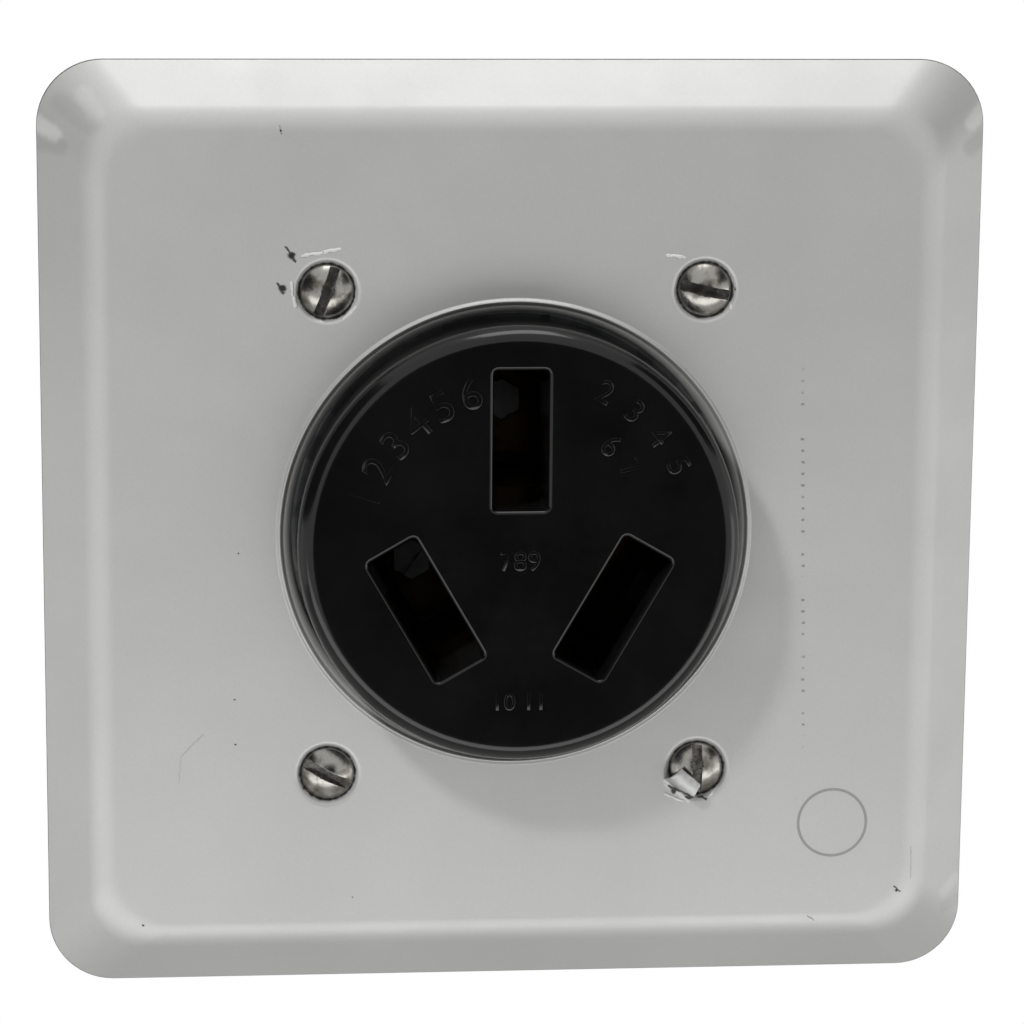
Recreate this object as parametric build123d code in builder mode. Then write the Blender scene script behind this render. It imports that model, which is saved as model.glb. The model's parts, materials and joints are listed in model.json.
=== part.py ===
from build123d import *
import os
from math import atan2, cos, hypot, radians, sin, tan

os.makedirs("parts", exist_ok=True)

# Flush wall socket with three poles on a bevelled two-gang plate.
# The wall is the plane y = 0 and the socket faces -Y, so a height is a distance in front of the wall.
# The origin is the middle of the four box screws, on the wall.

# Wall plate, pressed from one sheet
plate_width = 115.5
plate_height = 115.5
plate_corner = 8.0
plate_depth = 5.5
plate_skirt = 0.6
bevel_width = 6.7
sheet = 0.9
bend_radius = 2.5
plate_hole_radius = 27.4
lip_radius = 1.35
lip_length = 1.4
least_corner = 0.2
corner_steps = 4
edge_steps = 2

# Plate screws, oval heads in countersinks
plate_screw_x = 23.02
plate_screw_z = 30.165
screw_cone = 41.0
dimple_radius = 3.9
head_radius = 3.4
dome_height = 1.3
dome_flat_share = 0.4
plate_shank_radius = 1.75
plate_screw_tip = 6.0
plate_slot_width = 1.2
plate_slot_depth = 1.1
plate_slot_angles = {(-1, 1): 70, (1, 1): -13, (-1, -1): -28, (1, -1): 90}

# Flap of sheet torn up beside the lower right plate screw and folded over its head
flap_corner = (1, -1)
flap_turn = 218.0
flap_sheet = 0.35
flap_width = 4.6
flap_foot = 0.9
flap_reach = 3.6
flap_tilt = 0.35
flap_gap = 0.2

# Mounting strap, its back face on the wall
strap_width = 72.0
strap_height = 102.0
strap_corner = 6.0
strap_sheet = 1.5
box_screw_x = 23.02
box_screw_z = 41.67
box_slot_width = 4.6
box_slot_length = 7.6
thread_gap = 0.02

# Moulded face, a disc on a neck that goes through the strap
disc_radius = 26.9
disc_front = 13.5
disc_edge = 2.1
neck_radius = 25.0
neck_depth = 4.0
neck_gap = 0.3
key_width = 5.0
key_height = 1.0
slot_length = 17.1
slot_width = 6.65
slot_chamfer = 0.6
slot_top_z = 13.1
slot_side_x = 11.4
slot_side_z = -7.7
slot_lean = 30.0

# Poles: middle of the slot, the way its terminal lies, and whether the slot runs that way
poles = {
    "top": (0.0, slot_top_z, 90, True),
    "left": (-slot_side_x, slot_side_z, 180 + slot_lean, False),
    "right": (slot_side_x, slot_side_z, -slot_lean, False),
}

# Moulded back
body_radius = 34.0
body_depth = 36.0
chamber_length = 18.0
chamber_width = 12.4
bay_wall = 1.6
bay_gap = 0.3

# Screws that draw the face and the back together on the strap
body_screw_angles = (30, 150, 270)
body_screw_radius = 1.9
body_screw_hole_radius = 2.2
body_screw_head_radius = 3.4
body_screw_head_height = 2.0
insert_radius = 2.8
insert_wall = 1.7
insert_length = 8.0
body_screw_slot_width = 1.0
body_screw_slot_depth = 1.2
body_screw_engagement = 6.0

# Double-leaf contacts with a steel spring outside the leaves
leaf_sheet = 1.2
leaf_width = 14.0
leaf_tip = 1.6
leaf_pinch = 5.5
leaf_pinch_gap = 5.0
leaf_flare = 1.0
leaf_base_gap = 7.0
contact_depth = 17.0
spring_sheet = 0.8
spring_width = 9.0
spring_tip = 6.5
contact_screw_radius = 1.5
contact_screw_gap = 0.15
contact_head_radius = 2.6
contact_head_height = 1.1
contact_slot_width = 0.8
contact_slot_depth = 0.6
contact_slot_turn = 25.0

# Terminal bar from the contact to the wire clamp
bar_sheet = 1.5
bar_width = 8.0
bar_gap = 0.2
bar_tail = 5.0

# Clamp block with its pressure shoe and screw
block_length = 8.5
block_width = 13.0
block_front_wall = 1.5
block_back_wall = 3.5
channel_width = 8.4
channel_height = 9.5
shoe_gap = 0.15
shoe_length = 7.5
shoe_height = 2.2
shoe_rest_gap = 0.2
shoe_groove = 5.0
shoe_groove_depth = 0.9
clamp_screw_radius = 3.17
clamp_thread_gap = 0.05
clamp_screw_length = 9.6
clamp_slot_width = 1.2
clamp_slot_depth = 1.6
clamp_slot_turn = 35.0
shoe_screw_gap = 0.05


def front(height, x=0.0, z=0.0, turn=0.0):
    """Plane parallel to the wall, its normal pointing away from the wall."""
    x_dir = (cos(radians(turn)), 0, sin(radians(turn)))
    return Plane(origin=(x, -height, z), x_dir=x_dir, z_dir=(0, -1, 0))


def section(x=0.0, z=0.0):
    """Plane through a screw or the disc's axis: local x is the radius and local y is minus the height."""
    return Plane(origin=(x, 0, z), x_dir=(1, 0, 0), z_dir=(0, 0, 1))


def axis_at(x=0.0, z=0.0):
    return Axis((x, 0, z), (0, 1, 0))


def arc_steps(x, y, radius, start, sweep, steps):
    """Points of an arc, for a round edge made of straight steps."""
    turns = [radians(start + sweep * i / steps) for i in range(steps + 1)]
    return [(x + radius * cos(turn), y + radius * sin(turn)) for turn in turns]


def rounded_outline(width, height, corner, steps):
    """Points of a rectangle whose corners are rounded by straight steps."""
    across, down = width / 2 - corner, height / 2 - corner
    middles = [(across, down), (-across, down), (-across, -down), (across, -down)]
    quarters = [arc_steps(*middle, corner, 90 * i, 90, steps) for i, middle in enumerate(middles)]
    return [point for quarter in quarters for point in quarter]


def stacked(outlines):
    """Solid whose flat sides join outlines of equal point counts, given with their heights."""
    rings = [[(x, -height, z) for x, z in outline] for height, outline in outlines]
    faces = [Face(Wire.make_polygon(ring)) for ring in (rings[0], rings[-1])]
    for low, high in zip(rings, rings[1:]):
        for i in range(len(low)):
            faces.append(Face(Wire.make_polygon([low[i - 1], low[i], high[i], high[i - 1]])))
    return Solid(Shell(faces))


def beside(points, distance):
    """Points of the line that runs beside a bent strip, on its right-hand side."""
    shifted = []
    for (ax, ay), (bx, by) in zip(points, points[1:]):
        length = hypot(bx - ax, by - ay)
        nx = (by - ay) / length
        ny = (ax - bx) / length
        shifted.append(((ax + nx * distance, ay + ny * distance), (bx - ax, by - ay)))
    result = [shifted[0][0]]
    for (p, d), (q, e) in zip(shifted, shifted[1:]):
        cross = d[0] * e[1] - d[1] * e[0]
        along = ((q[0] - p[0]) * e[1] - (q[1] - p[1]) * e[0]) / cross
        result.append((p[0] + d[0] * along, p[1] + d[1] * along))
    (p, d) = shifted[-1]
    result.append((p[0] + d[0], p[1] + d[1]))
    return result


plate_corners = [(sx * plate_screw_x, sz * plate_screw_z) for sx, sz in plate_slot_angles]
box_corners = [(sx * box_screw_x, sz * box_screw_z) for sx, sz in plate_slot_angles]
body_screw_circle = neck_radius - insert_radius - insert_wall
body_screw_places = [
    (body_screw_circle * cos(radians(a)), body_screw_circle * sin(radians(a))) for a in body_screw_angles
]

# Heights behind the wall are negative
chamber_floor = -contact_depth - leaf_sheet - spring_sheet - bar_sheet
bar_front = chamber_floor + bar_sheet
block_front = bar_front + block_front_wall
block_back = block_front - block_front_wall - channel_height - block_back_wall
channel_back = block_back + block_back_wall
shoe_back = channel_back + shoe_rest_gap
bay_roof = block_front + bay_gap


def slot_size(along):
    return (slot_length, slot_width) if along else (slot_width, slot_length)


def chamber_size(along):
    return (chamber_length, chamber_width) if along else (chamber_width, chamber_length)


def block_start(along):
    """Distance from the slot's middle to the near side of the clamp block."""
    return chamber_size(along)[0] / 2 + bay_wall + bay_gap


# Wall plate
bevel_rise = plate_depth - plate_skirt
bevel_slope = hypot(bevel_width, bevel_rise)
sheet_across = sheet * bevel_slope / bevel_rise
inner_height = plate_depth - sheet
rim_inset = sheet_across - plate_skirt * bevel_width / bevel_rise
inner_inset = sheet_across + (inner_height - plate_skirt) * bevel_width / bevel_rise
bend_share = tan(atan2(bevel_rise, bevel_width) / 2)
bend_run = bend_radius * bend_share
inner_run = (bend_radius - sheet) * bend_share
lip_outer = plate_hole_radius + lip_radius
lip_middle = plate_depth - lip_radius
cone_rise = tan(radians(screw_cone))
head_edge = plate_depth - (dimple_radius - head_radius) / cone_rise
head_top = head_edge + dome_height

# The flap leaves the sheet outside the dimple, stands up and lies over the head
flap_x = flap_corner[0] * plate_screw_x
flap_z = flap_corner[1] * plate_screw_z
flap_way = Vector(cos(radians(flap_turn)), 0, sin(radians(flap_turn)))
flap_plane = Plane(origin=(flap_x, 0, flap_z), x_dir=flap_way, z_dir=flap_way.cross(Vector(0, 1, 0)))
flap_bend = dimple_radius + flap_sheet / 2 + flap_gap
flap_height = head_top + flap_gap + flap_sheet / 2
flap_line = [
    (flap_bend + flap_foot, flap_sheet / 2 - plate_depth),
    (flap_bend, -flap_sheet / 2 - plate_depth),
    (flap_bend - flap_gap, flap_tilt - flap_height),
    (flap_bend - flap_reach, -flap_height),
]

# Height and inset of the plate's outline at its rim and at each bend, outside and inside
outer_bends = [
    (0, 0),
    (plate_skirt, 0),
    (plate_depth - bend_run * bevel_rise / bevel_slope, bevel_width - bend_run * bevel_width / bevel_slope),
    (plate_depth, bevel_width + bend_run),
]
inner_bends = [
    (0, rim_inset),
    (inner_height - inner_run * bevel_rise / bevel_slope, inner_inset - inner_run * bevel_width / bevel_slope),
    (inner_height, inner_inset + inner_run),
]


def plate_outline(inset):
    corner = max(plate_corner - inset, least_corner)
    return rounded_outline(plate_width - 2 * inset, plate_height - 2 * inset, corner, corner_steps)


with BuildPart() as wall_plate:
    add(stacked([(height, plate_outline(inset)) for height, inset in outer_bends]))
    add(stacked([(height, plate_outline(inset)) for height, inset in inner_bends]), mode=Mode.SUBTRACT)
    with BuildSketch(front(inner_height)):
        Circle(lip_outer)
    extrude(amount=sheet, mode=Mode.SUBTRACT)
    with BuildSketch(section()):
        with BuildLine():
            Polyline(
                *arc_steps(lip_outer, -lip_middle, lip_radius, 180, 90, edge_steps),
                (lip_outer, -inner_height),
                (plate_hole_radius + sheet, -inner_height),
                (plate_hole_radius + sheet, lip_length - lip_middle),
                (plate_hole_radius, lip_length - lip_middle),
                close=True,
            )
        make_face()
    revolve(axis=axis_at())
    for place in plate_corners:
        with BuildSketch(section(*place)):
            with BuildLine():
                Polyline(
                    (0, -plate_depth),
                    (dimple_radius, -plate_depth),
                    (dimple_radius - sheet * cone_rise, -inner_height),
                    (0, -inner_height),
                    close=True,
                )
            make_face()
        revolve(axis=axis_at(*place), mode=Mode.SUBTRACT)
    with BuildSketch(flap_plane):
        with BuildLine():
            Polyline(*flap_line)
        trace(line_width=flap_sheet)
    extrude(amount=flap_width / 2, both=True)

# Plate screws
cone_foot = plate_depth - (dimple_radius - plate_shank_radius) / cone_rise
dome_flat = head_radius * dome_flat_share

with BuildPart() as plate_screws:
    for (corner, angle), place in zip(plate_slot_angles.items(), plate_corners):
        with BuildSketch(section(*place)):
            with BuildLine():
                Polyline(
                    (0, -head_top),
                    (0, plate_screw_tip),
                    (plate_shank_radius, plate_screw_tip),
                    (plate_shank_radius, -cone_foot),
                    (head_radius, -head_edge),
                    (dome_flat, -head_top),
                    close=True,
                )
            make_face()
        revolve(axis=axis_at(*place))
        with BuildSketch(front(head_top, *place, angle)):
            Rectangle(3 * head_radius, plate_slot_width)
        extrude(amount=-plate_slot_depth, mode=Mode.SUBTRACT)

# Mounting strap
strap_hole_radius = neck_radius + neck_gap

with BuildPart() as mounting_strap:
    with BuildSketch(front(0)):
        Polygon(*rounded_outline(strap_width, strap_height, strap_corner, edge_steps), align=None)
        Circle(strap_hole_radius, mode=Mode.SUBTRACT)
        with Locations((0, -strap_hole_radius)):
            Rectangle(key_width + 2 * neck_gap, 2 * key_height + 2 * neck_gap, mode=Mode.SUBTRACT)
        with Locations(*box_corners):
            SlotOverall(box_slot_length, box_slot_width, mode=Mode.SUBTRACT)
        with Locations(*plate_corners):
            Circle(plate_shank_radius + thread_gap, mode=Mode.SUBTRACT)
    extrude(amount=strap_sheet)

# Moulded face
with BuildPart() as face_housing:
    with BuildSketch(section()):
        with BuildLine():
            Polyline(
                (0, -strap_sheet),
                (disc_radius, -strap_sheet),
                *arc_steps(disc_radius - disc_edge, disc_edge - disc_front, disc_edge, 0, -90, edge_steps),
                (0, -disc_front),
                close=True,
            )
        make_face()
    revolve(axis=axis_at())
    with BuildSketch(front(-neck_depth)):
        Circle(neck_radius)
    extrude(amount=neck_depth + strap_sheet)
    with BuildSketch(front(0)):
        with Locations((0, -neck_radius)):
            Rectangle(key_width, 2 * key_height)
    extrude(amount=strap_sheet)
    for x, z, turn, along in poles.values():
        with BuildSketch(front(-neck_depth, x, z, turn)):
            Rectangle(*slot_size(along))
        extrude(amount=neck_depth + disc_front, mode=Mode.SUBTRACT)
        with BuildSketch(front(-neck_depth, x, z, turn)):
            Rectangle(*chamber_size(along))
        extrude(amount=neck_depth - leaf_tip + neck_gap + leaf_flare, mode=Mode.SUBTRACT)
    slot_edges = face_housing.faces().sort_by(Axis.Y)[0].inner_wires().edges()
    chamfer(slot_edges, slot_chamfer)
    for place in body_screw_places:
        with BuildSketch(front(-neck_depth, *place)):
            RegularPolygon(insert_radius, 6)
        extrude(amount=insert_length, mode=Mode.SUBTRACT)

# Moulded back, one moulding kept as a sector for each pole, parted through the screw holes
with BuildPart() as moulded_back:
    with BuildSketch(front(-body_depth)):
        Circle(body_radius)
    extrude(amount=body_depth)
    with BuildSketch(front(-neck_depth)):
        Circle(neck_radius + neck_gap)
    extrude(amount=neck_depth, mode=Mode.SUBTRACT)
    for x, z, turn, along in poles.values():
        with BuildSketch(front(chamber_floor, x, z, turn)):
            Rectangle(*chamber_size(along))
        extrude(amount=-neck_depth - chamber_floor, mode=Mode.SUBTRACT)
        with BuildSketch(front(-body_depth, x, z, turn)):
            with Locations((block_start(along) - bay_gap, 0)):
                Rectangle(body_radius, block_width + 2 * bay_gap, align=(Align.MIN, Align.CENTER))
        extrude(amount=body_depth + bay_roof, mode=Mode.SUBTRACT)
        with BuildSketch(front(chamber_floor, x, z, turn)):
            Rectangle(block_start(along), bar_width + 2 * bar_gap, align=(Align.MIN, Align.CENTER))
        extrude(amount=bar_sheet + bar_gap, mode=Mode.SUBTRACT)
    for place in body_screw_places:
        with BuildSketch(front(-body_depth, *place)):
            Circle(body_screw_hole_radius)
        extrude(amount=body_depth, mode=Mode.SUBTRACT)

sector_half = 180 / len(poles)
back_sectors = {}

for pole, (x, z, turn, along) in poles.items():
    start, end = radians(turn - sector_half), radians(turn + sector_half)
    with BuildPart() as back_sector:
        add(moulded_back.part)
        split(bisect_by=Plane(origin=(0, 0, 0), z_dir=(-sin(start), 0, cos(start))))
        split(bisect_by=Plane(origin=(0, 0, 0), z_dir=(sin(end), 0, -cos(end))))
    back_sectors[f"back_housing_{pole}"] = back_sector

# Threaded inserts moulded into the face
with BuildPart() as face_inserts:
    for place in body_screw_places:
        with BuildSketch(front(-neck_depth, *place)):
            RegularPolygon(insert_radius, 6)
            Circle(body_screw_radius + thread_gap, mode=Mode.SUBTRACT)
        extrude(amount=insert_length)

# Screws from the back
with BuildPart() as housing_screws:
    for place in body_screw_places:
        with BuildSketch(front(-body_depth, *place)):
            Circle(body_screw_radius)
        extrude(amount=body_screw_engagement - neck_depth + body_depth)
        with BuildSketch(front(-body_depth, *place)):
            RegularPolygon(body_screw_head_radius, 6)
        extrude(amount=-body_screw_head_height)
        with BuildSketch(front(-body_depth - body_screw_head_height, *place)):
            Rectangle(3 * body_screw_head_radius, body_screw_slot_width)
        extrude(amount=body_screw_slot_depth, mode=Mode.SUBTRACT)

# Bent line of a contact, half of it: across the blade, and minus the height
pinch = (leaf_pinch_gap / 2 + leaf_sheet / 2, leaf_pinch)
foot = (leaf_base_gap / 2 + leaf_sheet / 2, contact_depth + leaf_sheet / 2)
leaf_half = [(pinch[0] + leaf_flare, leaf_tip), pinch, foot]
leaf_line = leaf_half + [(-across, down) for across, down in reversed(leaf_half)]
spring_share = (spring_tip - pinch[1]) / (foot[1] - pinch[1])
spring_half = [(pinch[0] + (foot[0] - pinch[0]) * spring_share, spring_tip), foot]
spring_half += [(-across, down) for across, down in reversed(spring_half)]
spring_line = beside(spring_half, (leaf_sheet + spring_sheet) / 2)


def across_plane(x, z, turn, along):
    """Plane across a pole's blade: local x goes across the blade and local y is minus the height."""
    angle = radians(turn + 90 if along else turn)
    x_dir = Vector(cos(angle), 0, sin(angle))
    return Plane(origin=(x, 0, z), x_dir=x_dir, z_dir=x_dir.cross(Vector(0, 1, 0)))


def grip_plane(x, z, turn, distance):
    """Plane across a pole's wire channel: local x goes across it and local y is minus the height."""
    angle = radians(turn)
    origin = (x + distance * cos(angle), 0, z + distance * sin(angle))
    return Plane(origin=origin, x_dir=(-sin(angle), 0, cos(angle)), z_dir=(-cos(angle), 0, -sin(angle)))


pole_parts = {}

for pole, (x, z, turn, along) in poles.items():
    across = across_plane(x, z, turn, along)

    with BuildPart() as contact:
        with BuildSketch(across):
            with BuildLine():
                Polyline(*leaf_line)
            trace(line_width=leaf_sheet)
        extrude(amount=leaf_width / 2, both=True)
        with BuildSketch(front(-contact_depth, x, z, turn)):
            Circle(contact_screw_radius + contact_screw_gap)
        extrude(amount=-leaf_sheet, mode=Mode.SUBTRACT)

    with BuildPart() as contact_spring:
        with BuildSketch(across):
            with BuildLine():
                Polyline(*spring_line)
            trace(line_width=spring_sheet)
        extrude(amount=spring_width / 2, both=True)
        with BuildSketch(front(-contact_depth - leaf_sheet, x, z, turn)):
            Circle(contact_screw_radius + contact_screw_gap)
        extrude(amount=-spring_sheet, mode=Mode.SUBTRACT)

    with BuildPart() as terminal_bar:
        with BuildSketch(front(bar_front, x, z, turn)):
            with Locations((-bar_tail, 0)):
                Rectangle(
                    bar_tail + block_start(along) + block_length, bar_width, align=(Align.MIN, Align.CENTER)
                )
            Circle(contact_screw_radius + thread_gap, mode=Mode.SUBTRACT)
        extrude(amount=-bar_sheet)

    with BuildPart() as contact_screw:
        with BuildSketch(front(-contact_depth, x, z, turn)):
            Circle(contact_screw_radius)
        extrude(amount=chamber_floor + contact_depth)
        with BuildSketch(front(-contact_depth, x, z, turn)):
            RegularPolygon(contact_head_radius, 6)
        extrude(amount=contact_head_height)
        with BuildSketch(front(contact_head_height - contact_depth, x, z, turn + contact_slot_turn)):
            Rectangle(3 * contact_head_radius, contact_slot_width)
        extrude(amount=-contact_slot_depth, mode=Mode.SUBTRACT)

    block_middle = block_start(along) + block_length / 2

    with BuildPart() as terminal_block:
        with BuildSketch(front(block_front, x, z, turn)):
            with Locations((block_middle, 0)):
                Rectangle(block_length, block_width)
        extrude(amount=block_back - block_front)
        with BuildSketch(front(channel_back, x, z, turn)):
            with Locations((block_middle, 0)):
                Rectangle(2 * block_length, channel_width)
        extrude(amount=channel_height, mode=Mode.SUBTRACT)
        with BuildSketch(front(block_back, x, z, turn)):
            with Locations((block_middle, 0)):
                Circle(clamp_screw_radius + clamp_thread_gap)
        extrude(amount=block_back_wall, mode=Mode.SUBTRACT)

    shoe_half = channel_width / 2 - shoe_gap

    with BuildPart() as wire_clamp:
        with BuildSketch(grip_plane(x, z, turn, block_middle)):
            Polygon(
                (-shoe_half, -shoe_back),
                (shoe_half, -shoe_back),
                (shoe_half, -shoe_back - shoe_height),
                (shoe_groove / 2, -shoe_back - shoe_height),
                (0, shoe_groove_depth - shoe_back - shoe_height),
                (-shoe_groove / 2, -shoe_back - shoe_height),
                (-shoe_half, -shoe_back - shoe_height),
                align=None,
            )
        extrude(amount=shoe_length / 2, both=True)

    screw_front = shoe_back - shoe_screw_gap

    with BuildPart() as terminal_screw:
        with BuildSketch(front(screw_front, x, z, turn)):
            with Locations((block_middle, 0)):
                Circle(clamp_screw_radius)
        extrude(amount=-clamp_screw_length)
        with BuildSketch(front(screw_front - clamp_screw_length, x, z, turn + clamp_slot_turn)):
            with Locations(Rot(Z=-clamp_slot_turn) * Pos(block_middle, 0)):
                Rectangle(3 * clamp_screw_radius, clamp_slot_width)
        extrude(amount=clamp_slot_depth, mode=Mode.SUBTRACT)

    pole_parts |= {
        f"contact_{pole}": contact,
        f"contact_spring_{pole}": contact_spring,
        f"terminal_bar_{pole}": terminal_bar,
        f"contact_screw_{pole}": contact_screw,
        f"terminal_block_{pole}": terminal_block,
        f"wire_clamp_{pole}": wire_clamp,
        f"terminal_screw_{pole}": terminal_screw,
    }

parts = {
    "wall_plate": wall_plate,
    "plate_screws": plate_screws,
    "mounting_strap": mounting_strap,
    "face_housing": face_housing,
    "face_inserts": face_inserts,
    "housing_screws": housing_screws,
} | back_sectors | pole_parts

for name, piece in parts.items():
    piece.part.label = name
    export_step(piece.part, f"parts/{name}.step")
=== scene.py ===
import bpy
import json
from math import atan2, cos, hypot, pi, radians, sin, tan
from mathutils import Matrix, Vector


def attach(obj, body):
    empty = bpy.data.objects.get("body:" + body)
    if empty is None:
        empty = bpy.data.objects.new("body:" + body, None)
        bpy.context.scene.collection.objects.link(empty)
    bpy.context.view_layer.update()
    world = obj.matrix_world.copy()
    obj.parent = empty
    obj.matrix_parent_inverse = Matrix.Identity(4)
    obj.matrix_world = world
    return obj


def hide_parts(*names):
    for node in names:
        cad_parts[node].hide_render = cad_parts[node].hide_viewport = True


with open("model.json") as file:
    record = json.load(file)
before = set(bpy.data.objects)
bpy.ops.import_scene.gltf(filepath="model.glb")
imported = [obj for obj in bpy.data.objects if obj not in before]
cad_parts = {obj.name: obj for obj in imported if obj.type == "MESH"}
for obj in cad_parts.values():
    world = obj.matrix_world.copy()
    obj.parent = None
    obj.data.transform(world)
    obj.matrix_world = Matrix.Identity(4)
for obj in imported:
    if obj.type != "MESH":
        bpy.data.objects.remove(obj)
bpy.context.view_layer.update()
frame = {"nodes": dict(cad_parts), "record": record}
nodes = frame["nodes"]
mm = 0.001
print("frame loaded,", len(nodes), "nodes")


# small helpers

def deselectAll():
    if bpy.context.object and bpy.context.object.mode != "OBJECT":
        bpy.ops.object.mode_set(mode="OBJECT")
    bpy.ops.object.select_all(action="DESELECT")


def pick(obj):
    deselectAll()
    obj.select_set(True)
    bpy.context.view_layer.objects.active = obj
    return obj


def named(name):
    obj = bpy.context.object
    obj.name = name
    obj.data.name = name
    return obj


def joined(name, pieces):
    deselectAll()
    for piece in pieces:
        piece.select_set(True)
    bpy.context.view_layer.objects.active = pieces[0]
    bpy.ops.object.join()
    return named(name)


def editMode(kind):
    bpy.ops.object.mode_set(mode="EDIT")
    bpy.ops.mesh.select_mode(type=kind)
    bpy.ops.mesh.select_all(action="SELECT")


# kind is FACE or EDGE, and test reads a face's middle and normal or an edge's two ends
def selectIn(obj, kind, test):
    bpy.ops.object.mode_set(mode="OBJECT")
    mesh = obj.data
    for group in (mesh.vertices, mesh.edges, mesh.polygons):
        group.foreach_set("select", [False] * len(group))
    if kind == "FACE":
        for face in mesh.polygons:
            face.select = test(face.center, face.normal)
    else:
        for edge in mesh.edges:
            a, b = (mesh.vertices[i].co for i in edge.vertices)
            edge.select = test(a, b)
    bpy.ops.object.mode_set(mode="EDIT")
    bpy.ops.mesh.select_mode(type=kind)


def applyPlace(obj):
    pick(obj)
    bpy.ops.object.transform_apply(location=True, rotation=True, scale=True)


# cuboid of a size in millimetres, turned about Y
def block(name, size, place, turn=0.0):
    deselectAll()
    bpy.ops.mesh.primitive_cube_add(size=1, location=(0, 0, 0))
    obj = named(name)
    obj.scale = [side * mm for side in size]
    obj.rotation_euler = (0, -radians(turn), 0)
    obj.location = [at * mm for at in place]
    applyPlace(obj)
    return obj


def applyModifiers(obj):
    pick(obj)
    for modifier in list(obj.modifiers):
        bpy.ops.object.modifier_apply(modifier=modifier.name)


def cut(obj, cutters):
    for cutter in cutters:
        step = obj.modifiers.new("cut", "BOOLEAN")
        step.operation = "DIFFERENCE"
        step.solver = "EXACT"
        step.object = cutter
        pick(obj)
        bpy.ops.object.modifier_apply(modifier=step.name)
        bpy.data.objects.remove(cutter, do_unlink=True)


# large faces keep their own direction, so the light on them stays even up to their edges
def smooth(obj, angle=30):
    pick(obj)
    bpy.ops.object.shade_smooth_by_angle(angle=radians(angle))
    even = obj.modifiers.new("even", "WEIGHTED_NORMAL")
    even.keep_sharp = True
    even.weight = 100
    applyModifiers(obj)


def facesOut(obj):
    pick(obj)
    editMode("FACE")
    bpy.ops.mesh.remove_doubles(threshold=0.000002)
    bpy.ops.mesh.normals_make_consistent(inside=False)
    bpy.ops.object.mode_set(mode="OBJECT")


# draws the selected face out along Y, its profile is a list of (radius or half width, y) in millimetres
def drawFace(profile, x=0.0, z=0.0):
    size, y = profile[0]
    for nextSize, nextY in profile[1:]:
        bpy.ops.mesh.extrude_region_move(TRANSFORM_OT_translate={"value": (0, (nextY - y) * mm, 0)})
        share = nextSize / size
        bpy.ops.transform.resize(value=(share, 1, share), center_override=(x * mm, 0, z * mm))
        size, y = nextSize, nextY
    bpy.ops.object.mode_set(mode="OBJECT")


# round piece about an axis along Y
def turned(name, profile, x=0.0, z=0.0, sides=96):
    deselectAll()
    bpy.ops.mesh.primitive_circle_add(
        vertices=sides, radius=profile[0][0] * mm, fill_type="NGON",
        location=(x * mm, profile[0][1] * mm, z * mm), rotation=(pi / 2, 0, 0))
    obj = named(name)
    applyPlace(obj)
    editMode("FACE")
    drawFace(profile, x, z)
    facesOut(obj)
    return obj


# open round wall drawn on from a circle of edges that is already in the piece
def drawRing(obj, profile, x=0.0, z=0.0):
    radius, y = profile[0]
    centre = Vector((x * mm, y * mm, z * mm))
    selectIn(obj, "EDGE", lambda a, b: all(
        abs(p.y - centre.y) < 1e-5 and abs(hypot(p.x - centre.x, p.z - centre.z) - radius * mm) < 2e-5
        for p in (a, b)))
    for nextRadius, nextY in profile[1:]:
        bpy.ops.mesh.extrude_edges_move(TRANSFORM_OT_translate={"value": (0, (nextY - y) * mm, 0)})
        share = nextRadius / radius
        bpy.ops.transform.resize(value=(share, 1, share), center_override=(x * mm, 0, z * mm))
        radius, y = nextRadius, nextY
    bpy.ops.object.mode_set(mode="OBJECT")


# (radius, y) along a quarter or less of a circle, from one angle to another
def arc(radius, y, size, start, end, steps):
    turns = [radians(start + (end - start) * i / steps) for i in range(steps + 1)]
    return [(radius + size * cos(t), y - size * sin(t)) for t in turns]


# materials

def hexColour(code):
    channels = [int(code[i:i + 2], 16) / 255 for i in (1, 3, 5)]
    return [c / 12.92 if c <= 0.04045 else ((c + 0.055) / 1.055) ** 2.4 for c in channels] + [1.0]


def addNode(tree, kind, settings=None, links=None):
    node = tree.nodes.new(kind)
    for key, value in (settings or {}).items():
        if isinstance(key, str) and hasattr(node, key):
            setattr(node, key, value)
        else:
            node.inputs[key].default_value = value
    for key, socket in (links or {}).items():
        tree.links.new(socket, node.inputs[key])
    return node


def newMaterial(name, colour, roughness, metallic=0.0, ior=None):
    material = bpy.data.materials.new(name)
    material.use_nodes = True
    shader = material.node_tree.nodes["Principled BSDF"]
    shader.inputs["Base Color"].default_value = hexColour(colour)
    shader.inputs["Roughness"].default_value = roughness
    shader.inputs["Metallic"].default_value = metallic
    if ior:
        shader.inputs["IOR"].default_value = ior
    return material, material.node_tree, shader


def patternScale(sizeMm):
    return 1 / (sizeMm * mm)  # pattern features of one size in millimetres, on Object coordinates


# camera at the photo's angle

cameraPlace = dict(
    azimuth=-4.964, elevation=11.637, roll=0.463, distance=0.481793, lens=136.475,
    target=(0.000107, 0.0, 0.001662))


def placeCamera(place):
    turn, rise, roll = (radians(place[key]) for key in ("azimuth", "elevation", "roll"))
    back = Vector((sin(turn) * cos(rise), -cos(turn) * cos(rise), sin(rise)))
    right = Vector((cos(turn), sin(turn), 0))
    up = back.cross(right)
    right, up = cos(roll) * right + sin(roll) * up, cos(roll) * up - sin(roll) * right
    data = bpy.data.cameras.new("camera")
    data.lens = place["lens"]
    data.sensor_width = 36
    data.clip_start = 0.01
    obj = bpy.data.objects.new("camera", data)
    bpy.context.scene.collection.objects.link(obj)
    at = Vector(place["target"]) + back * place["distance"]
    obj.matrix_world = Matrix((
        (right.x, up.x, back.x, at.x),
        (right.y, up.y, back.y, at.y),
        (right.z, up.z, back.z, at.z),
        (0, 0, 0, 1)))
    bpy.context.scene.camera = obj


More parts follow.
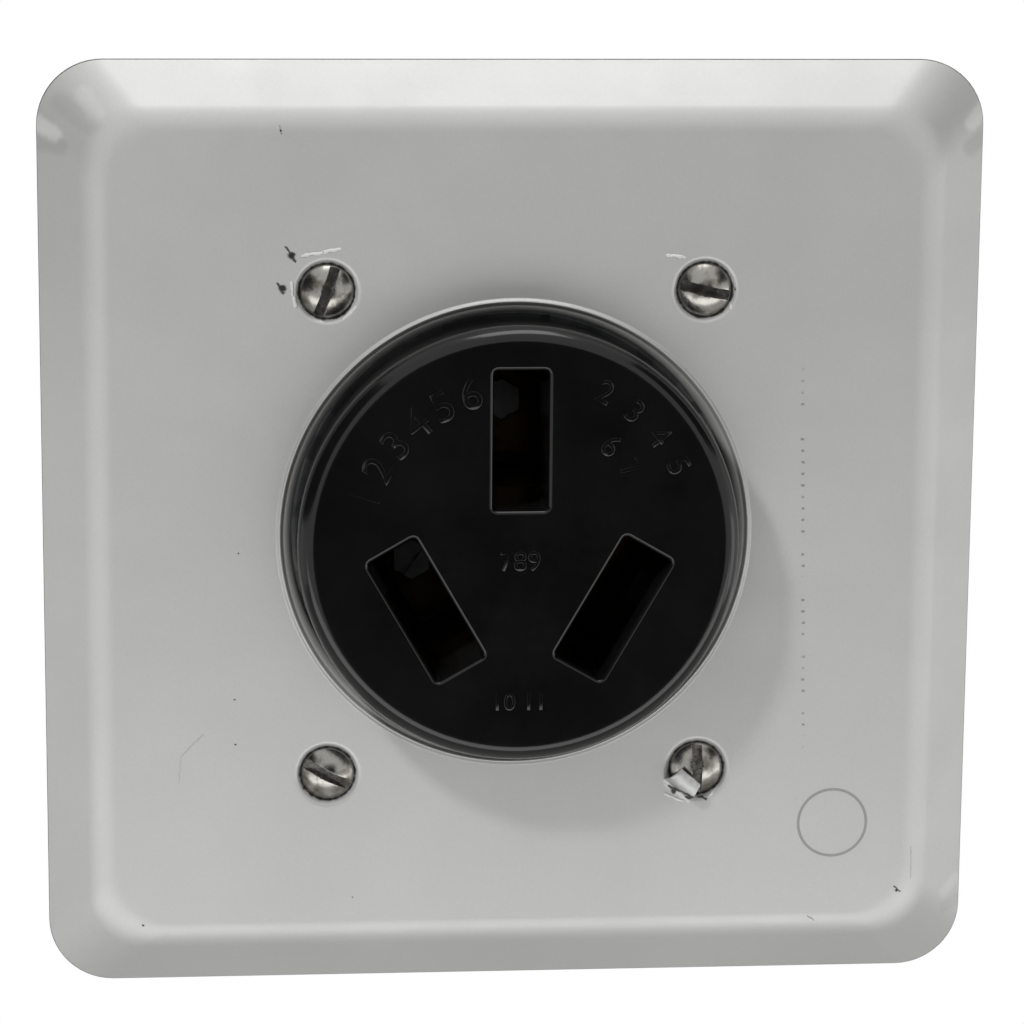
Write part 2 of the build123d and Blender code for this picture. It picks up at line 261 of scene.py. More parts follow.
placeCamera(cameraPlace)
print("camera placed")


# the plate's aluminium sheet: rolled, satin, gone slightly dull, so it mirrors its surroundings only softly
plateWear = dict(
    # dark specks and pits, (x, z, radius) in millimetres
    specks=[
        (-27.3, 34.6, 0.55), (-28.4, 30.6, 0.6), (-33.9, -2.1, 0.14), (-34.4, -20.5, 0.13),
        (-34.45, -26.2, 0.14), (-46.0, -49.3, 0.17), (-20.0, -46.1, 0.12), (48.8, -46.4, 0.3),
        (20.2, -32.9, 0.5), (22.0, -33.7, 0.45), (26.6, 30.2, 0.3), (-28.5, 49.7, 0.18),
    ],
    # scratches, (x, z, x, z, width, darkness) in millimetres
    scratches=[
        (-38.3, -24.8, -41.1, -27.6, 0.16, 0.26), (-41.1, -27.6, -41.4, -31.0, 0.12, 0.2),
        (50.45, -40.8, 50.6, -45.0, 0.14, 0.28), (48.4, -45.9, 49.3, -46.6, 0.2, 0.9),
        (37.5, -49.6, 38.3, -50.2, 0.16, 0.6), (19.6, -32.4, 24.3, -34.1, 0.32, 0.95),
        (-27.9, 35.6, -26.9, 33.9, 0.3, 0.9), (-29.0, 31.2, -28.2, 30.0, 0.32, 0.9),
        (-28.6, 50.2, -28.4, 49.2, 0.12, 0.6),
    ],
    # raised burrs, bumped and painted lighter as their painted highlight, (x, z, x, z, width)
    burrs=[
        (-26.0, 34.5, -23.6, 34.9, 0.3), (-23.2, 35.0, -21.4, 35.3, 0.4), (-27.3, 31.2, -27.1, 29.8, 0.3),
        (-27.0, 29.4, -26.8, 28.5, 0.42), (18.4, 34.4, 20.4, 34.2, 0.36), (25.9, 29.4, 26.2, 27.9, 0.3),
        (-21.0, 26.9, -19.6, 28.2, 0.34), (19.2, -33.4, 21.4, -34.4, 0.36), (24.6, -33.8, 25.6, -32.6, 0.3),
    ],
    # painted shade in the gap round each screw head, radius and softness in millimetres
    gapShade=dict(places=((-23.02, 30.165), (23.02, 30.165), (-23.02, -30.165), (23.02, -30.165)),
               radius=3.52, soft=0.09, darkness=0.92),
    # shallow dents in the corners, drawn only as painted highlight and painted shade in the tone, (x, z, x, z,
    # width, lighter or darker)
    paintedCreases=[
        (-57.7, 50.2, -55.6, 48.9, 1.9, 0.34), (-57.6, 47.8, -55.0, 47.5, 2.0, -0.12),
        (-54.6, 52.6, -51.4, 50.4, 2.6, -0.1), (-52.0, 53.6, -50.6, 51.6, 2.2, 0.12),
        (57.6, 51.8, 56.0, 50.1, 1.8, 0.24), (57.6, 48.2, 56.0, 47.2, 2.2, -0.14),
        (57.2, -46.2, 55.4, -47.8, 1.4, 0.1), (57.2, -49.2, 55.8, -49.8, 1.6, -0.08),
    ],
    # depth from the wall within which the skirt is painted dark grey
    rimDepth=0.55,
    # how far the edges of the marks wander
    wander=0.5,
    # specks, scratches, burrs and ring show only this far in front of the wall
    flatFrom=5.2,
    dotLine=dict(top=(35.25, 20.6), bottom=(36.42, -28.5), spacing=1.45, size=0.15, width=0.36, darkness=0.55),
    ring=dict(x=40.3, z=-37.4, radius=4.3, width=0.35),
    # low bead that the press left along the lip of the large hole
    bead=dict(radius=28.85, reach=0.5),
)


def plateAluminium(wear):
    sheetColour = "#B2B2B0"
    material, tree, shader = newMaterial("satinAluminium", sheetColour, 0.46, 0.55)
    place = addNode(tree, "ShaderNodeTexCoord").outputs["Object"]
    ragged = addNode(tree, "ShaderNodeTexNoise", {"Scale": patternScale(0.7), "Detail": 2.0}, {"Vector": place})
    wander = wear["wander"] * mm
    shifted = addNode(tree, "ShaderNodeVectorMath", {"operation": "MULTIPLY_ADD", 1: (wander, 0, wander)},
                      {0: ragged.outputs["Color"], 2: place}).outputs[0]
    flat = addNode(tree, "ShaderNodeVectorMath", {
        "operation": "MULTIPLY_ADD", 1: (1, 0, 1), 2: (-wander / 2, 0, -wander / 2)}, {0: shifted}).outputs[0]
    plan = addNode(tree, "ShaderNodeVectorMath", {"operation": "MULTIPLY", 1: (1, 0, 1)}, {0: place}).outputs[0]
    front = addNode(tree, "ShaderNodeSeparateXYZ", links={0: place}).outputs["Y"]
    onFront = addNode(tree, "ShaderNodeMath", {"operation": "LESS_THAN", 1: -wear["flatFrom"] * mm},
                      {0: front}).outputs[0]

    def strongest(masks):
        total = masks[0]
        for mask in masks[1:]:
            total = addNode(tree, "ShaderNodeMath", {"operation": "MAXIMUM"}, {0: total, 1: mask}).outputs[0]
        return total

    def streak(ax, az, bx, bz, width, strength=1.0):
        start = Vector((ax * mm, 0, az * mm))
        run = Vector((bx * mm, 0, bz * mm)) - start
        away = addNode(tree, "ShaderNodeVectorMath", {"operation": "SUBTRACT", 1: start}, {0: flat}).outputs[0]
        along = addNode(tree, "ShaderNodeVectorMath", {"operation": "DOT_PRODUCT", 1: run / run.length_squared},
                        {0: away}).outputs["Value"]
        kept = addNode(tree, "ShaderNodeClamp", {}, {"Value": along}).outputs[0]
        near = addNode(tree, "ShaderNodeVectorMath", {"operation": "SCALE", 0: run}, {"Scale": kept}).outputs[0]
        gap = addNode(tree, "ShaderNodeVectorMath", {"operation": "DISTANCE"}, {0: away, 1: near}).outputs["Value"]
        return addNode(tree, "ShaderNodeMapRange", {
            "interpolation_type": "SMOOTHSTEP", "From Min": width * mm * 0.25, "From Max": width * mm * 0.75,
            "To Min": strength, "To Max": 0.0}, {"Value": gap}).outputs[0]

    dark = []
    for x, z, size in wear["specks"]:
        gap = addNode(tree, "ShaderNodeVectorMath", {"operation": "DISTANCE", 1: (x * mm, 0, z * mm)}, {0: flat})
        dark.append(addNode(tree, "ShaderNodeMapRange", {
            "interpolation_type": "SMOOTHSTEP", "From Min": size * mm * 0.5, "From Max": size * mm * 1.1,
            "To Min": 1.0, "To Max": 0.0}, {"Value": gap.outputs["Value"]}).outputs[0])
    dark += [streak(*scratch) for scratch in wear["scratches"]]

    # the line of tiny pits: a thin streak, kept only where the height falls in a pit
    line = wear["dotLine"]
    thread = streak(*line["top"], *line["bottom"], line["width"], line["darkness"])
    height = addNode(tree, "ShaderNodeSeparateXYZ", links={0: place}).outputs["Z"]
    beat = addNode(tree, "ShaderNodeMath", {"operation": "PINGPONG", 1: line["spacing"] * mm / 2},
                   {0: height}).outputs[0]
    pit = addNode(tree, "ShaderNodeMath", {"operation": "LESS_THAN", 1: line["size"] * mm}, {0: beat}).outputs[0]
    chance = addNode(tree, "ShaderNodeTexNoise", {"Scale": patternScale(2.6), "Detail": 0.0}, {"Vector": place})
    some = addNode(tree, "ShaderNodeMapRange", {"From Min": 0.42, "From Max": 0.55}, {"Value": chance.outputs[0]})
    pits = addNode(tree, "ShaderNodeMath", {"operation": "MULTIPLY"}, {0: thread, 1: pit}).outputs[0]
    dark.append(addNode(tree, "ShaderNodeMath", {"operation": "MULTIPLY"},
                        {0: pits, 1: some.outputs[0]}).outputs[0])

    darkMask = addNode(tree, "ShaderNodeMath", {"operation": "MULTIPLY"},
                       {0: strongest(dark), 1: onFront}).outputs[0]
    burrMask = addNode(tree, "ShaderNodeMath", {"operation": "MULTIPLY"},
                       {0: strongest([streak(*burr) for burr in wear["burrs"]]), 1: onFront}).outputs[0]

    # plain engraved ring where the real plate has a stamped mark
    ring = wear["ring"]
    gap = addNode(tree, "ShaderNodeVectorMath", {
        "operation": "DISTANCE", 1: (ring["x"] * mm, 0, ring["z"] * mm)}, {0: plan}).outputs["Value"]
    groove = addNode(tree, "ShaderNodeMath", {"operation": "COMPARE", 1: ring["radius"] * mm,
                     2: ring["width"] * mm / 2}, {0: gap}).outputs[0]
    grooveMask = addNode(tree, "ShaderNodeMath", {"operation": "MULTIPLY"},
                         {0: groove, 1: onFront}).outputs[0]

    # sum of the painted crease highlights and shades, about 0 where there is none
    creaseLightAndShade = None
    for *line, lift in wear["paintedCreases"]:
        mask = streak(*line)
        creaseLightAndShade = addNode(tree, "ShaderNodeMath", {"operation": "MULTIPLY_ADD", 1: lift, 2: 0.0},
                         {0: mask, **({2: creaseLightAndShade} if creaseLightAndShade else {})}).outputs[0]
    rim = addNode(tree, "ShaderNodeMath", {"operation": "GREATER_THAN", 1: -wear["rimDepth"] * mm},
                  {0: front}).outputs[0]

    tarnish = addNode(tree, "ShaderNodeTexNoise", {"Scale": patternScale(22), "Detail": 4.0}, {"Vector": place})
    tint = addNode(tree, "ShaderNodeMapRange", {"To Min": 0.9, "To Max": 1.04}, {"Value": tarnish.outputs[0]})
    grain = addNode(tree, "ShaderNodeTexNoise", {"Scale": patternScale(0.32), "Detail": 3.0, "Roughness": 0.7},
                    {"Vector": place})  # the real grain is about 0.1 mm, drawn coarser so that it shows
    speckle = addNode(tree, "ShaderNodeMapRange", {"To Min": 0.93, "To Max": 1.06}, {"Value": grain.outputs[0]})
    shade = addNode(tree, "ShaderNodeMath", {"operation": "MULTIPLY"},
                    {0: tint.outputs[0], 1: speckle.outputs[0]}).outputs[0]
    # painted highlight and painted shade of the corner dents, put into the metal's tone
    withCreaseLight = addNode(tree, "ShaderNodeMath", {"operation": "MULTIPLY_ADD"},
                      {0: creaseLightAndShade, 1: shade, 2: shade}).outputs[0]
    metal = addNode(tree, "ShaderNodeVectorMath", {"operation": "SCALE", 0: hexColour(sheetColour)[:3]},
                    {"Scale": withCreaseLight})
    # the skirt's last 0.55 mm towards the wall is painted dark grey
    rimDarkened = addNode(tree, "ShaderNodeMix", {"data_type": "RGBA", 7: hexColour("#3C3C3C")},
                      {0: rim, 6: metal.outputs[0]})
    worn = addNode(tree, "ShaderNodeMix", {"data_type": "RGBA", 7: hexColour("#2A2A2A")},
                   {0: darkMask, 6: rimDarkened.outputs[2]}).outputs[2]
    engraved = addNode(tree, "ShaderNodeMix", {"data_type": "RGBA", 7: hexColour("#8C8C8B")},
                       {0: grooveMask, 6: worn}).outputs[2]
    # painted highlight along the raised burrs, on top of their bump
    bright = addNode(tree, "ShaderNodeMix", {"data_type": "RGBA", 7: hexColour("#CDCDCC")},
                     {0: burrMask, 6: engraved}).outputs[2]
    # painted shade: a dark ring painted into the sunk gap round each screw head
    gapShade = wear["gapShade"]
    gapShadeMasks = []
    for x, z in gapShade["places"]:
        gap = addNode(tree, "ShaderNodeVectorMath", {"operation": "DISTANCE", 1: (x * mm, 0, z * mm)}, {0: flat})
        gapShadeMasks.append(addNode(tree, "ShaderNodeMapRange", {
            "From Min": (gapShade["radius"] - gapShade["soft"]) * mm,
            "From Max": (gapShade["radius"] + gapShade["soft"]) * mm,
            "To Min": gapShade["darkness"], "To Max": 0.0}, {"Value": gap.outputs["Value"]}).outputs[0])
    sunk = addNode(tree, "ShaderNodeMath", {"operation": "SUBTRACT", 0: 1.0}, {1: onFront}).outputs[0]
    gapShadeMask = addNode(tree, "ShaderNodeMath", {"operation": "MULTIPLY"},
                        {0: strongest(gapShadeMasks), 1: sunk}).outputs[0]
    gapShaded = addNode(tree, "ShaderNodeMix", {"data_type": "RGBA", 7: hexColour("#161514")},
                    {0: gapShadeMask, 6: bright}).outputs[2]
    tree.links.new(gapShaded, shader.inputs["Base Color"])

    patchy = addNode(tree, "ShaderNodeTexNoise", {"Scale": patternScale(5), "Detail": 3.0}, {"Vector": place})
    rough = addNode(tree, "ShaderNodeMapRange", {"To Min": 0.42, "To Max": 0.5}, {"Value": patchy.outputs[0]})
    tree.links.new(rough.outputs[0], shader.inputs["Roughness"])

    wavy = addNode(tree, "ShaderNodeTexNoise", {"Scale": patternScale(26), "Detail": 1.0}, {"Vector": place})
    waves = addNode(tree, "ShaderNodeBump", {"Strength": 0.35, "Distance": 0.0006}, {"Height": wavy.outputs[0]})
    grainBump = addNode(tree, "ShaderNodeBump", {"Strength": 0.25, "Distance": 0.00003},
                        {"Height": grain.outputs[0], "Normal": waves.outputs[0]})
    burrBump = addNode(tree, "ShaderNodeBump", {"Strength": 0.55, "Distance": 0.0003},
                       {"Height": burrMask, "Normal": grainBump.outputs[0]})
    bead = wear["bead"]
    fromMiddle = addNode(tree, "ShaderNodeVectorMath", {"operation": "LENGTH"}, {0: plan}).outputs["Value"]
    fromBead = addNode(tree, "ShaderNodeMath", {"operation": "SUBTRACT", 1: bead["radius"] * mm},
                       {0: fromMiddle}).outputs[0]
    fromBead = addNode(tree, "ShaderNodeMath", {"operation": "ABSOLUTE"}, {0: fromBead}).outputs[0]
    beadHeight = addNode(tree, "ShaderNodeMapRange", {
        "interpolation_type": "SMOOTHSTEP", "From Min": 0.0, "From Max": bead["reach"] * mm,
        "To Min": 1.0, "To Max": 0.0}, {"Value": fromBead}).outputs[0]
    beadBump = addNode(tree, "ShaderNodeBump", {"Strength": 0.8, "Distance": 0.0004},
                       {"Height": beadHeight, "Normal": burrBump.outputs[0]})
    ringBump = addNode(tree, "ShaderNodeBump", {"Strength": 0.8, "Distance": 0.0002, "invert": True},
                       {"Height": grooveMask, "Normal": beadBump.outputs[0]})
    tree.links.new(ringBump.outputs[0], shader.inputs["Normal"])
    return material


satinAluminium = plateAluminium(plateWear)


# nickel plate over brass: bright, with fine tool marks and a little tarnish
def nickelPlate():
    material, tree, shader = newMaterial("nickelPlate", "#8F8C87", 0.22, 1.0)
    place = addNode(tree, "ShaderNodeTexCoord").outputs["Object"]
    marks = addNode(tree, "ShaderNodeTexNoise", {"Scale": patternScale(0.5), "Detail": 4.0}, {"Vector": place})
    rough = addNode(tree, "ShaderNodeMapRange", {"To Min": 0.14, "To Max": 0.34}, {"Value": marks.outputs[0]})
    tree.links.new(rough.outputs[0], shader.inputs["Roughness"])
    stain = addNode(tree, "ShaderNodeTexNoise", {"Scale": patternScale(1.6), "Detail": 2.0}, {"Vector": place})
    stained = addNode(tree, "ShaderNodeValToRGB", links={0: stain.outputs[0]})
    stained.color_ramp.elements[0].position = 0.32
    stained.color_ramp.elements[0].color = hexColour("#67635C")
    stained.color_ramp.elements[1].position = 0.55
    stained.color_ramp.elements[1].color = hexColour("#95938E")
    tree.links.new(stained.outputs[0], shader.inputs["Base Color"])
    bump = addNode(tree, "ShaderNodeBump", {"Strength": 0.35, "Distance": 0.00005}, {"Height": marks.outputs[0]})
    tree.links.new(bump.outputs[0], shader.inputs["Normal"])
    return material


# polished black phenolic: moulded, glossy, with a faint moulding texture and dust in its gloss
def blackPhenolic():
    material, tree, shader = newMaterial("polishedPhenolic", "#0A0A0A", 0.12, 0.0, 1.47)
    shader.inputs["Specular IOR Level"].default_value = 0.38  # years of dust take off some of the gloss
    place = addNode(tree, "ShaderNodeTexCoord").outputs["Object"]
    dust = addNode(tree, "ShaderNodeTexNoise", {"Scale": patternScale(1.1), "Detail": 5.0, "Roughness": 0.65},
                   {"Vector": place})
    rough = addNode(tree, "ShaderNodeMapRange", {"To Min": 0.1, "To Max": 0.2}, {"Value": dust.outputs[0]})
    tree.links.new(rough.outputs[0], shader.inputs["Roughness"])
    cloud = addNode(tree, "ShaderNodeTexNoise", {"Scale": patternScale(9), "Detail": 3.0}, {"Vector": place})
    tone = addNode(tree, "ShaderNodeValToRGB", links={0: cloud.outputs[0]})
    tone.color_ramp.elements[0].position = 0.35
    tone.color_ramp.elements[0].color = hexColour("#080808")
    tone.color_ramp.elements[1].position = 0.7
    tone.color_ramp.elements[1].color = hexColour("#0F0E0E")
    tree.links.new(tone.outputs[0], shader.inputs["Base Color"])
    skin = addNode(tree, "ShaderNodeTexNoise", {"Scale": patternScale(0.45), "Detail": 2.0}, {"Vector": place})
    bump = addNode(tree, "ShaderNodeBump", {"Strength": 0.12, "Distance": 0.00003}, {"Height": skin.outputs[0]})
    tree.links.new(bump.outputs[0], shader.inputs["Normal"])
    return material


# dull phenolic of the back: a rougher moulding with flow marks and brown flecks of filler
def dullPhenolic():
    material, tree, shader = newMaterial("dullPhenolic", "#1D1815", 0.55, 0.0, 1.55)
    place = addNode(tree, "ShaderNodeTexCoord").outputs["Object"]
    flow = addNode(tree, "ShaderNodeTexNoise", {"Scale": patternScale(6), "Detail": 5.0, "Distortion": 1.2},
                   {"Vector": place})
    tone = addNode(tree, "ShaderNodeValToRGB", links={0: flow.outputs[0]})
    tone.color_ramp.elements[0].position = 0.3
    tone.color_ramp.elements[0].color = hexColour("#17120F")
    tone.color_ramp.elements[1].position = 0.75
    tone.color_ramp.elements[1].color = hexColour("#33271F")
    tree.links.new(tone.outputs[0], shader.inputs["Base Color"])
    grit = addNode(tree, "ShaderNodeTexNoise", {"Scale": patternScale(0.4), "Detail": 3.0}, {"Vector": place})
    rough = addNode(tree, "ShaderNodeMapRange", {"To Min": 0.45, "To Max": 0.68}, {"Value": grit.outputs[0]})
    tree.links.new(rough.outputs[0], shader.inputs["Roughness"])
    bump = addNode(tree, "ShaderNodeBump", {"Strength": 0.3, "Distance": 0.00006}, {"Height": grit.outputs[0]})
    tree.links.new(bump.outputs[0], shader.inputs["Normal"])
    return material


# metals of the hidden pieces: rolled or cut stock, its lines along one way, blotched by age
def rolledMetal(name, colour, aged, roughness, lineMm, way):
    material, tree, shader = newMaterial(name, colour, roughness, 1.0)
    place = addNode(tree, "ShaderNodeTexCoord").outputs["Object"]
    stretched = addNode(tree, "ShaderNodeMapping", {"Scale": way}, {"Vector": place}).outputs[0]
    lines = addNode(tree, "ShaderNodeTexNoise", {"Scale": patternScale(lineMm), "Detail": 3.0},
                    {"Vector": stretched})
    blotch = addNode(tree, "ShaderNodeTexNoise", {"Scale": patternScale(4), "Detail": 4.0}, {"Vector": place})
    tone = addNode(tree, "ShaderNodeValToRGB", links={0: blotch.outputs[0]})
    tone.color_ramp.elements[0].position = 0.3
    tone.color_ramp.elements[0].color = hexColour(aged)
    tone.color_ramp.elements[1].position = 0.65
    tone.color_ramp.elements[1].color = hexColour(colour)
    tree.links.new(tone.outputs[0], shader.inputs["Base Color"])
    rough = addNode(tree, "ShaderNodeMapRange", {"To Min": roughness - 0.08, "To Max": roughness + 0.12},
                    {"Value": lines.outputs[0]})
    tree.links.new(rough.outputs[0], shader.inputs["Roughness"])
    bump = addNode(tree, "ShaderNodeBump", {"Strength": 0.25, "Distance": 0.00004}, {"Height": lines.outputs[0]})
    tree.links.new(bump.outputs[0], shader.inputs["Normal"])
    return material


# zinc plate: pale grey with the flat crystals of a dipped coat
def zincPlate(name, crystalMm, colour, roughness):
    material, tree, shader = newMaterial(name, colour, roughness, 1.0)
    place = addNode(tree, "ShaderNodeTexCoord").outputs["Object"]
    crystals = addNode(tree, "ShaderNodeTexVoronoi", {"Scale": patternScale(crystalMm)}, {"Vector": place})
    grey = addNode(tree, "ShaderNodeSeparateColor", links={0: crystals.outputs["Color"]}).outputs[0]
    tone = addNode(tree, "ShaderNodeValToRGB", links={0: grey})
    tone.color_ramp.elements[0].color = hexColour("#8D9092")
    tone.color_ramp.elements[1].color = hexColour(colour)
    tree.links.new(tone.outputs[0], shader.inputs["Base Color"])
    rough = addNode(tree, "ShaderNodeMapRange", {"To Min": roughness - 0.08, "To Max": roughness + 0.1},
                    {"Value": grey})
    tree.links.new(rough.outputs[0], shader.inputs["Roughness"])
    film = addNode(tree, "ShaderNodeTexNoise", {"Scale": patternScale(0.6), "Detail": 3.0}, {"Vector": place})
    bump = addNode(tree, "ShaderNodeBump", {"Strength": 0.2, "Distance": 0.00004}, {"Height": film.outputs[0]})
    tree.links.new(bump.outputs[0], shader.inputs["Normal"])
    return material


slotMaterials = {
    "plate": satinAluminium,
    "plate_screw": nickelPlate(),
    "face": blackPhenolic(),
    "back": dullPhenolic(),
    "strap": zincPlate("dippedZinc", 3.2, "#B4B7B8", 0.42),
    "steel_screw": zincPlate("platedScrewSteel", 0.9, "#8E908C", 0.38),
    "clamp_screw": zincPlate("platedClampSteel", 0.8, "#B2AF9F", 0.32),
    "shoe": zincPlate("platedShoeSteel", 1.1, "#A9ABAA", 0.4),
    "insert": rolledMetal("turnedBrass", "#C9A25C", "#8C6B38", 0.3, 0.12, (1, 6, 1)),
    # contact and bar brass: tarnished, and painted darker still as painted shade for the depth of the slots
    "contact": rolledMetal("springBrassPaintedShade", "#66522F", "#2F2616", 0.4, 0.15, (1, 0.12, 1)),
    "bar": rolledMetal("rolledBrassPaintedShade", "#6E5832", "#382D1A", 0.42, 0.15, (0.15, 1, 0.15)),
    "clamp_block": rolledMetal("milledBrass", "#CDA65E", "#8F7140", 0.3, 0.2, (1, 0.2, 1)),
    "spring_steel": rolledMetal("bluedSpringSteel", "#5C6068", "#34363C", 0.36, 0.15, (1, 0.12, 1)),
}

slotOfNode = {part["node"]: part["material_slot"] for part in frame["record"]["subparts"]}
for nodeName, obj in nodes.items():
    for materialSlot in obj.material_slots:
        materialSlot.material = slotMaterials[slotOfNode[nodeName]]
print("materials made and given to the CAD nodes")


def finishPiece(obj, slot, replaced=(), body="socket"):
    obj.data.materials.clear()
    obj.data.materials.append(slotMaterials[slot])
    for name in replaced:
        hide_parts(name)
    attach(obj, body)


# wall plate, pressed from one sheet
plate = dict(
    width=115.5, corner=8.0, depth=5.5, skirt=0.6, bevel=6.7, bend=6.0, bendSteps=12, sheet=0.88,
    holeRadius=27.4, lipRadius=1.35, lipEnd=2.75,
    rawEdge=0.45, rawStep=0.1, lipFlat=0.7, lipInset=0.2,
    screwX=23.02, screwZ=30.165, dimpleRadius=3.9, dimpleHole=1.98, dimpleTurn=0.7,
    dimpleFlat=1.2, dimpleInset=0.1, cone=41.0)
screwCorners = [(sx * plate["screwX"], sz * plate["screwZ"])
                for sx, sz in ((-1, 1), (1, 1), (-1, -1), (1, -1))]


def makeWallPlate(p):
    deselectAll()
    bpy.ops.mesh.primitive_plane_add(size=1, location=(0, 0, 0))
    obj = named("wallPlate")
    obj.scale = (p["width"] * mm, p["width"] * mm, 1)
    obj.rotation_euler = (pi / 2, 0, 0)
    applyPlace(obj)
    editMode("VERT")
    bpy.ops.mesh.bevel(offset=p["corner"] * mm, segments=14, affect="VERTICES")
    bpy.ops.mesh.select_mode(type="FACE")
    bpy.ops.mesh.select_all(action="SELECT")
    slope = atan2(p["depth"] - p["skirt"], p["bevel"])
    run = p["bend"] * tan(slope / 2)
    half = p["width"] / 2
    profile = [(half, 0.0), (half, -p["rawEdge"]), (half - p["rawStep"], -p["skirt"])]
    bendStart = half - p["bevel"] + run * cos(slope)
    bendHeight = p["depth"] - run * sin(slope)
    profile.append((bendStart, -bendHeight))
    for i in range(1, p["bendSteps"] + 1):
        turn = slope * (1 - i / p["bendSteps"])
        profile.append((bendStart - p["bend"] * (sin(slope) - sin(turn)),
                        -bendHeight - p["bend"] * (cos(turn) - cos(slope))))
    drawFace(profile)

    # the flat front is filled again round the openings
    front = -p["depth"] * mm
    selectIn(obj, "FACE", lambda middle, normal: abs(normal.y) > 0.99 and middle.length < 0.01)
    bpy.ops.mesh.delete(type="FACE")
    lip = p["lipRadius"]
    lipStart = p["holeRadius"] + lip
    dimpleEdge = p["dimpleRadius"] + p["dimpleFlat"]
    bpy.ops.mesh.primitive_circle_add(
        vertices=160, radius=(lipStart + p["lipFlat"]) * mm, location=(0, front, 0), rotation=(pi / 2, 0, 0))
    for x, z in screwCorners:
        bpy.ops.mesh.primitive_circle_add(
            vertices=64, radius=dimpleEdge * mm, location=(x * mm, front, z * mm), rotation=(pi / 2, 0, 0))
    selectIn(obj, "EDGE", lambda a, b: abs(a.y - front) < 1e-6 and abs(b.y - front) < 1e-6)
    bpy.ops.mesh.fill()
    bpy.ops.object.mode_set(mode="OBJECT")

    # rolled lip round the disc
    drawRing(obj, [(lipStart + p["lipFlat"], -p["depth"]), (lipStart + p["lipInset"], -p["depth"])]
             + arc(lipStart, lip - p["depth"], lip, 90, 180, 8) + [(p["holeRadius"], -p["lipEnd"])])

    # pressed dimples for the screw heads
    fall = tan(radians(p["cone"]))
    turn = p["dimpleTurn"]
    rim = p["dimpleRadius"] + turn * tan(radians(90 - p["cone"]) / 2)
    for x, z in screwCorners:
        drawRing(obj, [(dimpleEdge, -p["depth"]), (rim + p["dimpleInset"], -p["depth"])]
                 + arc(rim, turn - p["depth"], turn, 90, 180 - p["cone"], 5)
                 + [(p["dimpleHole"], (p["dimpleRadius"] - p["dimpleHole"]) / fall - p["depth"])], x, z)
    facesOut(obj)
    frontFace = max(obj.data.polygons, key=lambda face: face.area)
    if frontFace.normal.y > 0:
        pick(obj)
        editMode("FACE")
        bpy.ops.mesh.flip_normals()
        bpy.ops.object.mode_set(mode="OBJECT")
    wall = obj.modifiers.new("wall", "SOLIDIFY")
    wall.thickness = p["sheet"] * mm
    wall.offset = -1
    applyModifiers(obj)
    smooth(obj, 38)
    return obj


wallPlate = makeWallPlate(plate)
finishPiece(wallPlate, "plate", ["wall_plate"])
print("wall plate done,", len(wallPlate.data.polygons), "faces")


# flap of sheet torn up beside the lower right screw and folded over its head
flap = dict(x=23.02, z=-30.165, turn=229.0, foot=0.9, footGap=3.5, footDepth=0.12, width=4.7, cells=14,
            thickness=0.3, climb=(62, 74, 58, 36, 18, 8, -4, -14), step=0.42, narrow=0.955, lean=0.8, ragged=0.09)


def makeTornFlap(f):
    deselectAll()
    bpy.ops.mesh.primitive_plane_add(size=1, location=(0, 0, 0))
    obj = named("tornFlap")
    obj.scale = (f["foot"] * mm, f["width"] * mm, 1)
    obj.rotation_euler = (pi / 2, 0, 0)
    applyPlace(obj)
    selectIn(obj, "EDGE", lambda a, b: abs(a.x - b.x) < 1e-6)
    bpy.ops.mesh.subdivide(number_cuts=f["cells"] - 1)
    selectIn(obj, "EDGE", lambda a, b: a.x < 0 and b.x < 0)
    for climb in f["climb"]:
        bpy.ops.mesh.extrude_edges_move(TRANSFORM_OT_translate={"value": (
            -f["step"] * cos(radians(climb)) * mm, -f["step"] * sin(radians(climb)) * mm, 0)})
        bpy.ops.transform.resize(value=(1, 1, f["narrow"]), center_override=(0, 0, -f["lean"] * mm))
    bpy.ops.mesh.select_all(action="SELECT")
    bpy.ops.transform.vertex_random(offset=f["ragged"] * mm, seed=7)
    bpy.ops.object.mode_set(mode="OBJECT")
    # laid beside the screw: its fold points at the screw's middle
    way = radians(f["turn"])
    obj.rotation_euler = (0, -way, 0)
    away = f["footGap"] + f["foot"] / 2
    obj.location = ((f["x"] + away * cos(way)) * mm, (-plate["depth"] + f["footDepth"]) * mm,
                    (f["z"] + away * sin(way)) * mm)
    applyPlace(obj)
    wall = obj.modifiers.new("wall", "SOLIDIFY")
    wall.thickness = f["thickness"] * mm
    wall.offset = 0
    rounder = obj.modifiers.new("rounder", "SUBSURF")
    rounder.levels = rounder.render_levels = 2
    applyModifiers(obj)
    facesOut(obj)
    smooth(obj, 60)
    return obj


tornFlap = makeTornFlap(flap)
finishPiece(tornFlap, "plate")
print("torn flap done")


# oval-head plate screws, each slot turned as the photo has it
plateScrew = dict(
    headRadius=3.4, dome=1.45, shankRadius=1.75, tip=6.0, slotWidth=1.25, slotDepth=1.15,
    turns=(70, -13, -28, 90), edge=0.12, domeSteps=12, rimInset=0.12, rimDrop=0.06, rimStep=0.02,
    neckStep=0.1, neckLength=0.2, pitch=0.8, crest=0.03, root=0.3, threadStart=0.6, threadEnd=1.0,
    tipEase=0.45, tipStep=0.05)


